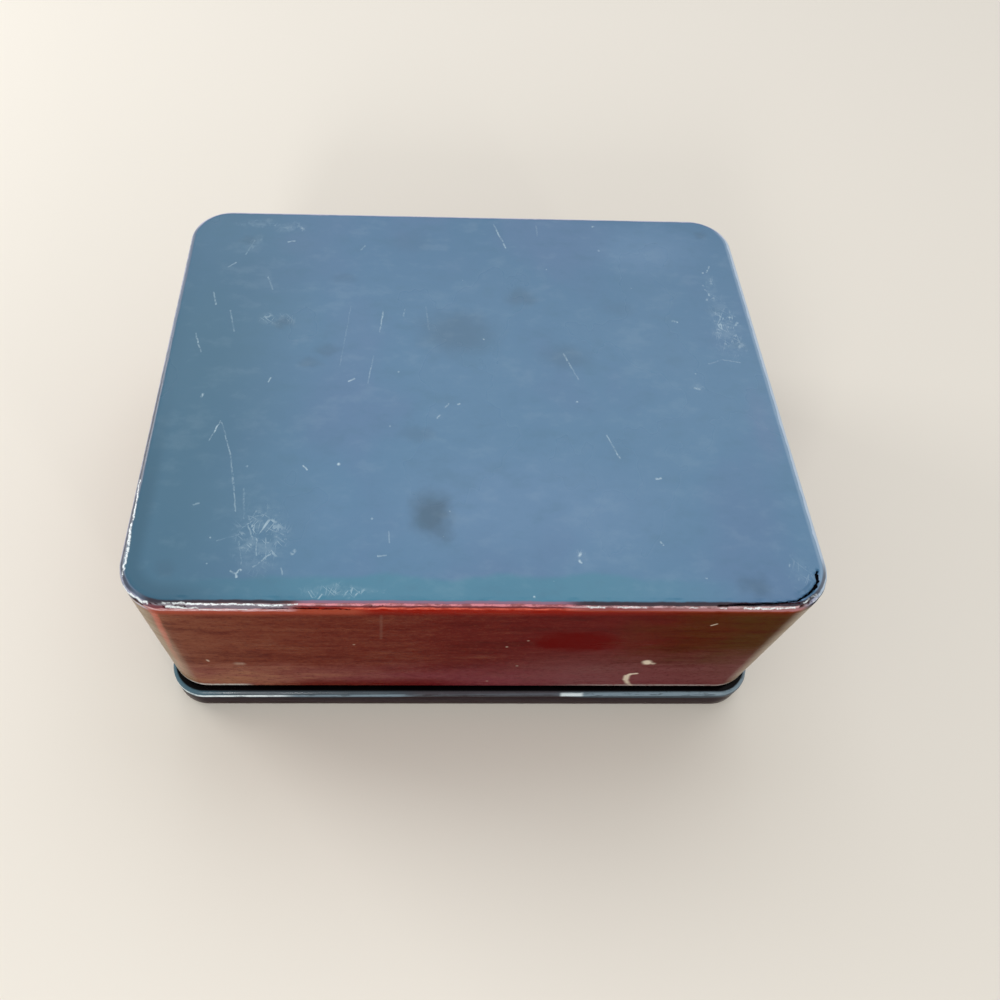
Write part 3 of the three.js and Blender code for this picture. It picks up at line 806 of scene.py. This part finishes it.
# Painted reflection of the lit table: rust to the left, umber to the right and tan in the grain towards the
# left.
side = laid_over(tree, colour(WALL_RED), colour(WALL_RUST), rise(tree, swayed_x, 25, -95, 0.95))
side = laid_over(tree, side, colour(WALL_UMBER), rise(tree, swayed_x, 35, 92, 0.95))
side = laid_over(tree, side, colour(WALL_WINE), rise(tree, grain, 0.48, 0.72, 0.72))
not_right = rise(tree, axes["X"], 70, -10, 1, 0.15)
tan_grain = times(tree, rise(tree, grain, 0.5, 0.26, 0.24), not_right)
side = laid_over(tree, side, colour(WALL_TAN), tan_grain)
by_corner = times(tree, rise(tree, swayed_x, -62, -104, 0.3), rise(tree, grain, 0.7, 0.4, 1, 0.4))
side = laid_over(tree, side, colour(WALL_TAN), by_corner)
# Painted reflection of the table along the bottom of the wall: mauve, tan to the left, clay to the right.
foot = times(
    tree,
    rise(tree, moved(tree, axes["Z"], blotch, 24), 42, 18, 0.9),
    rise(tree, axes["X"], 45, 95, 0.5, 1),
)
side = laid_over(tree, side, colour(WALL_MAUVE), foot)
tan_foot = times(tree, foot, rise(tree, swayed_x, -10, -70), rise(tree, grain, 0.6, 0.4, 1, 0.4))
side = laid_over(tree, side, colour(WALL_TAN), tan_foot)
right_foot = times(
    tree,
    rise(tree, moved(tree, axes["Z"], blotch, 20), 56, 32, 0.75),
    rise(tree, swayed_x, -5, 50),
    rise(tree, grain, 0.7, 0.4, 1, 0.6),
)
side = laid_over(tree, side, colour(WALL_CLAY), right_foot)
wine_foot = times(
    tree,
    rise(tree, moved(tree, axes["Z"], blotch, 8), 24, 17, 0.8),
    rise(tree, swayed_x, -72, -50),
    rise(tree, axes["X"], 12, -18),
)
side = laid_over(tree, side, colour(WALL_RED), wine_foot)
side = laid_over(tree, side, colour(WALL_WINE), rise(tree, speckle, 0.48, 0.72, 0.55))
speckled = times(tree, rise(tree, speckle, 0.5, 0.26, 0.17), not_right)
side = laid_over(tree, side, colour(WALL_TAN), speckled)
blood = node(
    tree,
    "ShaderNodeMapping",
    {
        "Vector": mm,
        "Location": [-place / half for place, half in zip(BLOOD_MIDDLE, BLOOD_HALF)],
        "Scale": [1 / half for half in BLOOD_HALF],
    },
)
blood_away = node(tree, "ShaderNodeVectorMath", {0: blood.outputs[0]}, operation="LENGTH").outputs["Value"]
blood_mask = rise(tree, moved(tree, blood_away, blotch, 1.2), 1.15, 0.5, 0.95)
side = laid_over(tree, side, colour(WALL_BLOOD), blood_mask)
wall_haze = times(
    tree, rise(tree, blood_mask, 0.9, 0, 0.019, 0.007), rise(tree, axes["X"], 72, 35, 1, 0.3)
)
corner_x = node(tree, "ShaderNodeMath", {0: axes["X"]}, operation="ABSOLUTE").outputs[0]
on_corner = times(tree, rise(tree, corner_x, 92.5, 99.5), rise(tree, axes["Y"], -66, -74))
# Painted reflection of the table: tan on the rounded corners.
side = laid_over(tree, side, colour(CORNER_REFLECTION_TAN), times(tree, on_corner, 0.8))
# Painted reflection: an orange line down the left corner where the rounded corner meets the flat front.
leaning = {0: axes["Z"], 1: REFLECTION_LINE_LEAN, 2: REFLECTION_LINE_SHIFT}
leaning = node(tree, "ShaderNodeMath", leaning, operation="MULTIPLY_ADD").outputs[0]
leaning = sums(tree, "ADD", swayed_corner, leaning)
reflection_line = times(
    tree,
    rise(tree, leaning, -93.6, -94.8, 0.5),
    rise(tree, leaning, -96.8, -95.6),
    rise(tree, axes["Y"], -80, -82),
    rise(tree, axes["Z"], 30, 76, 1, 0.25),
    rise(tree, speckle, 0.3, 0.56, 1, 0.45),
)
side = laid_over(tree, side, colour(LINE_ORANGE), reflection_line)
# Painted highlight: a pale line along the lower rim of the lid.
rim_highlight = times(
    tree,
    rise(tree, moved(tree, axes["Z"], flecks, 1.6), 16, 15.2, 0.9),
    sums(tree, "MAXIMUM", rise(tree, axes["X"], -74, -80), rise(tree, axes["X"], 25, 60, 0.5)),
    rise(tree, speckle, 0.36, 0.5, 1, 0.3),
)
side = laid_over(tree, side, colour(RIM_HIGHLIGHT), rim_highlight)
on_front = [
    ((start_x, lid_low.y, start_z), (end_x, lid_low.y, end_z), width, much)
    for (start_x, start_z), (end_x, end_z), width, much in FRONT_MARKS
]
painted = sums(tree, "MINIMUM", marks(tree, mm, on_front), 1)
side = laid_over(tree, side, colour(CREAM_PAINT), painted)

# The edge, in uneven lines that are partly undercoat showing through and partly painted light:
# along the front a red glow at the top of the wall, an orange line, a dark one, pink or mauve
# undercoat with painted highlights in it, and a plum line where the top begins that is a painted
# reflection of the dark room, and slate and lavender elsewhere as painted highlights. Pale chips
# with painted highlights, dull dark dents and an outline at the right corner, a painted shade,
# lie over them.
uneven_edge = moved(tree, edge, cloud(tree, mm, (7, 7, 3), 5, 0.65), 1)
corner_cut = rise(tree, corner_x, 100, 94)
in_front = times(tree, rise(tree, axes["Y"], -74, -79), corner_cut)
elsewhere = sums(tree, "SUBTRACT", 1, in_front)
left_end = times(tree, rise(tree, axes["X"], -51, -58), in_front)
by_left_end = times(tree, rise(tree, axes["X"], -30, -38), in_front)
left_side = times(tree, rise(tree, axes["X"], -97, -102), rise(tree, axes["Y"], 30, -20))
left_corner = times(tree, rise(tree, axes["X"], -80, -90), rise(tree, axes["Y"], -56, -68))
middle = times(tree, rise(tree, axes["X"], -56, -50), rise(tree, axes["X"], 34, 25), in_front)
right_end = times(tree, rise(tree, axes["X"], 23, 31), in_front)
right_corner = times(tree, rise(tree, axes["X"], 72, 86), rise(tree, axes["Y"], -66, -74))
behind = rise(tree, axes["Y"], 70, 78)
glowing = times(tree, in_front, rise(tree, axes["X"], 75, 5, 1, 0.25))
right_of_dents = times(tree, middle, rise(tree, axes["X"], -42, -34))
past_chips = times(tree, left_end, rise(tree, axes["X"], -87.5, -91))
left_turn = times(tree, rise(tree, axes["X"], -95, -98), rise(tree, axes["Y"], -74, -79))
fading_right_end = times(tree, right_end, rise(tree, axes["X"], 40, 70, 1, 0.4))
broken = rise(tree, cloud(tree, mm, (4, 4, 1.2), 4, 0.75), 0.4, 0.58, 1, 0.35)
# Painted highlights and painted reflections of the dark room, with undercoat showing through, in bands along
# the edge.
BANDS = [
    # colour, where it starts and ends on the edge, how softly, how much it shows, where it shows
    (GLOW_RED, 0, 1.2, 5, 0.9, glowing),
    (GLOW_RUST, -1.4, 0, 4, 0.85, by_left_end),
    (GLOW_RUST, -0.2, 0.3, 1.2, 0.5, right_end),
    (LINE_ORANGE, 0.45, 1.05, 0.3, 0.95, times(tree, right_of_dents, broken)),
    (LINE_ROSE, 1.3, 1.6, 0.3, 0.95, middle),
    (LINE_PINK, 1.9, 2.35, 0.3, 0.95, times(tree, middle, broken)),
    (LINE_LILAC, 2.7, 3.3, 0.4, 0.8, middle),
    (LINE_MAUVE, 0.4, 2, 0.5, 0.9, left_end),
    (LINE_PALE_PINK, -1.1, 0, 0.5, 0.95, times(tree, left_end, broken)),
    (LINE_PLUM, 2.5, 3.3, 0.35, 0.9, left_end),
    (LINE_ROSE, 0.2, 1.3, 0.4, 0.75, past_chips),
    (EDGE_LAVENDER, -2.4, -1.5, 0.4, 0.75, left_turn),
    (LINE_PLUM, 2.2, 3.6, 0.5, 0.95, left_corner),
    (LINE_DULL_PINK, 0.3, 1.1, 0.3, 0.85, fading_right_end),
    (LINE_PALE_PINK, 1.5, 1.9, 0.3, 0.85, times(tree, right_end, broken)),
    (EDGE_SLATE, 0.5, 3.3, 0.5, 0.9, elsewhere),
    (EDGE_LAVENDER, 1.2, 1.9, 0.5, 0.8, times(tree, elsewhere, broken)),
    (SLATE_PALE, -0.5, 4, 0.5, 1, right_side),
    (EDGE_PALE, -0.6, 3.1, 0.5, 0.72, right_side),
    (EDGE_LAVENDER, 2, 3, 0.3, 0.9, behind),
    (LINE_PLUM, 1.9, 2.8, 0.3, 0.7, left_side),
    (LINE_PLUM, 2.3, 3.2, 0.3, 0.9, right_end),
    (LINE_PLUM, 2.4, 3.6, 0.4, 0.8, right_corner),
]
wear_and_painted_light = side
for tint, start, end, soft, strength, where in BANDS:
    into = rise(tree, uneven_edge, start - soft, start, strength)
    out_of = rise(tree, uneven_edge, end + min(soft, 0.4), end)
    wear_and_painted_light = laid_over(tree, wear_and_painted_light, colour(tint), times(tree, into, out_of, where))
wear_and_painted_light = laid_over(tree, wear_and_painted_light, colour(CHIP_AND_HIGHLIGHT_WHITE), chips_and_highlights)
dented = times(tree, marks(tree, ragged, DENTS), rise(tree, flecks, 0.35, 0.5, 1, 0.5))
wear_and_painted_light = laid_over(tree, wear_and_painted_light, colour(LINE_DARK), sums(tree, "MINIMUM", dented, 1))
# Painted shade: a dark outline round the right front corner.
outline = times(
    tree,
    rise(tree, uneven_edge, -2.4, -1.4),
    rise(tree, uneven_edge, 1.3, 0.8, 0.85),
    rise(tree, axes["X"], 95, 99),
    rise(tree, axes["Y"], -68, -74),
)
wear_and_painted_light = laid_over(tree, wear_and_painted_light, colour(LINE_PLUM), outline)
side_gloss = sums(
    tree, "MAXIMUM", wall_haze, rise(tree, edge, 0.4, 1.7, 0.4), times(tree, on_corner, 0.2)
)
side_gloss = times(
    tree, side_gloss, rise(tree, sums(tree, "MAXIMUM", dented, outline), 0.1, 0.7, 0.15, 1)
)
side_relief = {"Height": grain, "Distance": GRAIN_RELIEF * MM, "Strength": RELIEF_STRENGTH}
side_skin = node(
    tree,
    "ShaderNodeBsdfPrincipled",
    {
        "Base Color": wear_and_painted_light,
        "Roughness": rise(tree, grain, 0.3, 0.7, 0.38, 0.26),
        "Normal": node(tree, "ShaderNodeBump", side_relief).outputs[0],
        "Specular IOR Level": side_gloss,
    },
).outputs[0]

# Where the top begins, and the crack, which shows nothing but its dark bottom, painted near black
# as painted shade.
top_begins = rise(tree, uneven_edge, 3, 3.6)
skin = node(tree, "ShaderNodeMixShader", {0: top_begins, 1: side_skin, 2: top_skin}).outputs[0]
level = node(tree, "ShaderNodeVectorMath", {0: mm, 1: (1, 1, 0)}, operation="MULTIPLY").outputs[0]
level = jogged(tree, level, 1.3, 0.8)
crack = marks(tree, level, [((*start, 0), (*end, 0), width, 1) for start, end, width in crack_path])
crack = times(tree, rise(tree, crack, 0.12, 0.3), rise(tree, edge, 1.5, 2))
crack_skin = node(
    tree,
    "ShaderNodeBsdfPrincipled",
    {"Base Color": colour(CRACK_PAINTED_SHADE), "Roughness": 0.9, "Specular IOR Level": 0.05},
).outputs[0]
skin = node(tree, "ShaderNodeMixShader", {0: crack, 1: skin, 2: crack_skin}).outputs[0]
node(tree, "ShaderNodeOutputMaterial", {"Surface": skin})

# The lacquer inside, and on the body, is black and satin, with faint brush lines along the boards.
SATIN_BLACK = "#171211"
SATIN_BROWN = "#251B18"
STROKE_RELIEF = 0.05
inside_lacquer, tree, mm = new_material("satin_black_lacquer")
strokes = cloud(tree, mm, (30, 30, 3), 5)
satin = laid_over(tree, colour(SATIN_BLACK), colour(SATIN_BROWN), rise(tree, strokes, 0.35, 0.7))
stroke_relief = {"Height": strokes, "Distance": STROKE_RELIEF * MM, "Strength": RELIEF_STRENGTH}
skin = node(
    tree,
    "ShaderNodeBsdfPrincipled",
    {
        "Base Color": satin,
        "Roughness": rise(tree, strokes, 0, 1, 0.45, 0.28),
        "Normal": node(tree, "ShaderNodeBump", stroke_relief).outputs[0],
        "Specular IOR Level": 0.4,
    },
)
node(tree, "ShaderNodeOutputMaterial", {"Surface": skin.outputs[0]})

lid_skin = finish_piece("lacquered_lid", lid, "lid", "red_lacquer", lid_lacquer, inside_lacquer)
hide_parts(*lid_nodes)

# The base moulding. Four mitred lengths glued round the base board and lacquered dark, with the
# outer edges rounded and a pale painted highlight along the upper one. It stands a little proud of
# the lid in front.
MOULDING_CORNER = 13
MOULDING_TOP_ROUND = 2
MOULDING_TOP_STEPS = 8
MOULDING_FOOT_ROUND = 1.5
MOULDING_FOOT_STEPS = 6
BOARD_GAP = 0.1
HOLE_CORNER = 8.3
MOULDING_TOP = "#37434C"
MOULDING_TEAL = "#42606E"
MOULDING_MAUVE = "#3A3239"
MOULDING_SIDE = "#24151A"
MOULDING_FOOT = "#2E1A14"
MOULDING_SHADE = "#050304"
MOULDING_HIGHLIGHT = "#8FA6B4"
MOULDING_CHIP_AND_HIGHLIGHT = "#DCE8EC"
MOULDING_RELIEF = 0.08
MOULDING_RELIEF_STRENGTH = 0.6
DARK_MIDDLE = 9
PALE_LINE_SLOPE = -0.0073
PALE_LINE_LEVEL = -0.58

moulding_nodes = [name for name in frame["nodes"] if name.startswith("base_moulding")]
body_nodes = [name for name in frame["nodes"] if name.startswith("body_") and "spline" not in name]
low, high = together(moulding_nodes)
body_low, body_high = together(body_nodes)
moulding = bmesh.new()
rounded_sheet(moulding, low, high, low.z + MOULDING_FOOT_ROUND, MOULDING_CORNER)
bottom, top = thicken(moulding, high.z - low.z - MOULDING_TOP_ROUND - MOULDING_FOOT_ROUND)
for inward, outward in quarter_turn(MOULDING_TOP_STEPS):
    step(moulding, top, MOULDING_TOP_ROUND * inward, MOULDING_TOP_ROUND * outward)
for inward, outward in quarter_turn(MOULDING_FOOT_STEPS):
    step(moulding, bottom, MOULDING_FOOT_ROUND * inward, MOULDING_FOOT_ROUND * outward)
# The hole for the board is nearer the outside at the sides, and has corners of its own.
side_width = high.x - body_high.x - BOARD_GAP
inner_edges = []
for face, edge_round in ((top, MOULDING_TOP_ROUND), (bottom, MOULDING_FOOT_ROUND)):
    step(moulding, face, side_width - edge_round, 0)
    for point in face.verts:
        for axis in range(2):
            straight = high[axis] - MOULDING_CORNER
            along = min(max(point.co[axis], -straight), straight)
            turned = (point.co[axis] - along) / (MOULDING_CORNER - side_width)
            hole_straight = body_high[axis] + BOARD_GAP - HOLE_CORNER
            point.co[axis] = along * hole_straight / straight + turned * HOLE_CORNER
    inner_edges += face.edges
bmesh.ops.delete(moulding, geom=[top, bottom], context="FACES_ONLY")
bmesh.ops.bridge_loops(moulding, edges=inner_edges)
bmesh.ops.recalc_face_normals(moulding, faces=moulding.faces)

# Its lacquer is painted slate on top, teal at the left end, as a painted reflection of the sky,
# with a darker middle, and brown-black on the sides, browner at the foot as a painted reflection
# of the table. The flat top under the lid's rim is painted near black as painted shade. The pale
# line along the front edge is a painted highlight; it climbs a little to the right and is painted
# white at two places: towards the left end as a brighter painted highlight, and at a real chip
# right of the middle.
moulding_lacquer, tree, mm = new_material("dark_lacquered_moulding")
axes = node(tree, "ShaderNodeSeparateXYZ", {0: mm}).outputs
uneven = cloud(tree, mm, (14, 14, 2), 5)
flecks = cloud(tree, mm, (5, 5, 0.8), 5, 0.7)
height = moved(tree, axes["Z"], uneven, 2)
# Painted reflection of the sky: slate on top, teal at the left end.
top_paint = laid_over(tree, colour(MOULDING_TOP), colour(MOULDING_TEAL), rise(tree, axes["X"], -78, -98))
from_middle = sums(tree, "SUBTRACT", axes["X"], DARK_MIDDLE)
from_middle = node(tree, "ShaderNodeMath", {0: from_middle}, operation="ABSOLUTE").outputs[0]
in_middle = rise(tree, from_middle, 36, 22)
top_paint = laid_over(tree, top_paint, colour(MOULDING_MAUVE), times(tree, in_middle, 0.85))
turn = sums(tree, "SUBTRACT", height, times(tree, in_middle, 2))
paint = laid_over(tree, colour(MOULDING_SIDE), top_paint, rise(tree, turn, 8.4, 9.1))
# Painted reflection of the table: browner at the foot.
paint = laid_over(tree, paint, colour(MOULDING_FOOT), rise(tree, height, 4, 1))
climb = {0: axes["X"], 1: PALE_LINE_SLOPE, 2: PALE_LINE_LEVEL}
climb = node(tree, "ShaderNodeMath", climb, operation="MULTIPLY_ADD").outputs[0]
climbing = sums(tree, "ADD", axes["Z"], climb)
# Painted highlight: the pale line along the front edge, white towards the left end.
pale_edge = times(
    tree,
    rise(tree, climbing, 9, 9.4),
    rise(tree, climbing, 10.6, 10.2),
    rise(tree, flecks, 0.36, 0.5, 1, 0.25),
)
highlight_edge = times(tree, pale_edge, rise(tree, in_middle, 1, 0, 0.55, 0.12))
paint = laid_over(tree, paint, colour(MOULDING_HIGHLIGHT), highlight_edge)
left_highlight = rise(tree, axes["X"], -60, -68)
right_chip = times(
    tree,
    rise(tree, axes["X"], 34.5, 36),
    rise(tree, axes["X"], 44, 42.5, 0.8),
    rise(tree, axes["Y"], 0, -40),
)
chip_and_highlight = times(tree, pale_edge, sums(tree, "MAXIMUM", left_highlight, right_chip))
paint = laid_over(tree, paint, colour(MOULDING_CHIP_AND_HIGHLIGHT), chip_and_highlight)
# Painted shade: the flat top under the lid's rim, near black.
paint = laid_over(tree, paint, colour(MOULDING_SHADE), rise(tree, axes["Z"], 11.4, 11.58))
moulding_relief = {
    "Height": uneven,
    "Distance": MOULDING_RELIEF * MM,
    "Strength": MOULDING_RELIEF_STRENGTH,
}
skin = node(
    tree,
    "ShaderNodeBsdfPrincipled",
    {
        "Base Color": paint,
        "Roughness": rise(tree, uneven, 0.3, 0.7, 0.35, 0.12),
        "Normal": node(tree, "ShaderNodeBump", moulding_relief).outputs[0],
        "Specular IOR Level": times(
            tree, rise(tree, axes["Z"], 9.2, 10.6, 0.28, 0.015), rise(tree, axes["Z"], 11.58, 11.4, 1, 0.2)
        ),
    },
)
node(tree, "ShaderNodeOutputMaterial", {"Surface": skin.outputs[0]})
moulding_skin = finish_piece("lacquered_base_moulding", moulding, "base", "base_lacquer", moulding_lacquer)
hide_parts(*moulding_nodes)

# The inner body. Four boards and four corner posts stand on the base board as an open frame, and
# its rim carries the lid. It is lacquered black inside and out.
BODY_CORNER = 8.2
BODY_WALL = 5
BODY_RIM_ROUND = 1.2
BODY_RIM_STEPS = 5

body = bmesh.new()
rounded_sheet(body, body_low, body_high, body_low.z, BODY_CORNER)
bottom, top = thicken(body, body_high.z - body_low.z - BODY_RIM_ROUND)
for inward, outward in quarter_turn(BODY_RIM_STEPS):
    step(body, top, BODY_RIM_ROUND * inward, BODY_RIM_ROUND * outward)
step(body, top, BODY_WALL - 2 * BODY_RIM_ROUND, 0)
for inward, outward in quarter_turn(BODY_RIM_STEPS):
    step(body, top, BODY_RIM_ROUND * outward, -BODY_RIM_ROUND * inward)
step(body, bottom, BODY_WALL, 0)
inner_edges = [edge for face in (top, bottom) for edge in face.edges]
bmesh.ops.delete(body, geom=[top, bottom], context="FACES_ONLY")
bmesh.ops.bridge_loops(body, edges=inner_edges)
bmesh.ops.recalc_face_normals(body, faces=body.faces)
body_skin = finish_piece("lacquered_inner_body", body, "base", "inside_lacquer", inside_lacquer)
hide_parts(*body_nodes)

# The base board. It closes the bottom of the box, tongued into the moulding, and the body stands on
# it. It keeps its own solid, lacquered as the body is.
board = frame["nodes"]["base_board"]
board.data.materials.clear()
board.data.materials.append(inside_lacquer)

# The tongues and the pegs. Loose tongues of planed cypress join the boards to the corner posts, and
# pegs of split bamboo hold the body down on the base board. They keep their own solids and are left
# bare, so they are matt and pale, with darker fibres.
WOODS = {
    # slot: (name, pale, dark, width of the fibres)
    "bare_cypress": ("planed_cypress", "#D2B083", "#B98F5C", 1.2),
    "bamboo_peg": ("split_bamboo", "#C6A667", "#8F6E38", 0.35),
}
for slot, (name, pale, dark, fibre) in WOODS.items():
    wood, tree, mm = new_material(name)
    tone = laid_over(tree, colour(pale), colour(dark), cloud(tree, mm, (fibre, fibre, 30), 4))
    skin = node(tree, "ShaderNodeBsdfPrincipled", {"Base Color": tone, "Roughness": 0.6})
    node(tree, "ShaderNodeOutputMaterial", {"Surface": skin.outputs[0]})
    for row in frame["record"]["subparts"]:
        if row["material_slot"] == slot:
            piece = frame["nodes"][row["node"]]
            piece.data.materials.clear()
            piece.data.materials.append(wood)
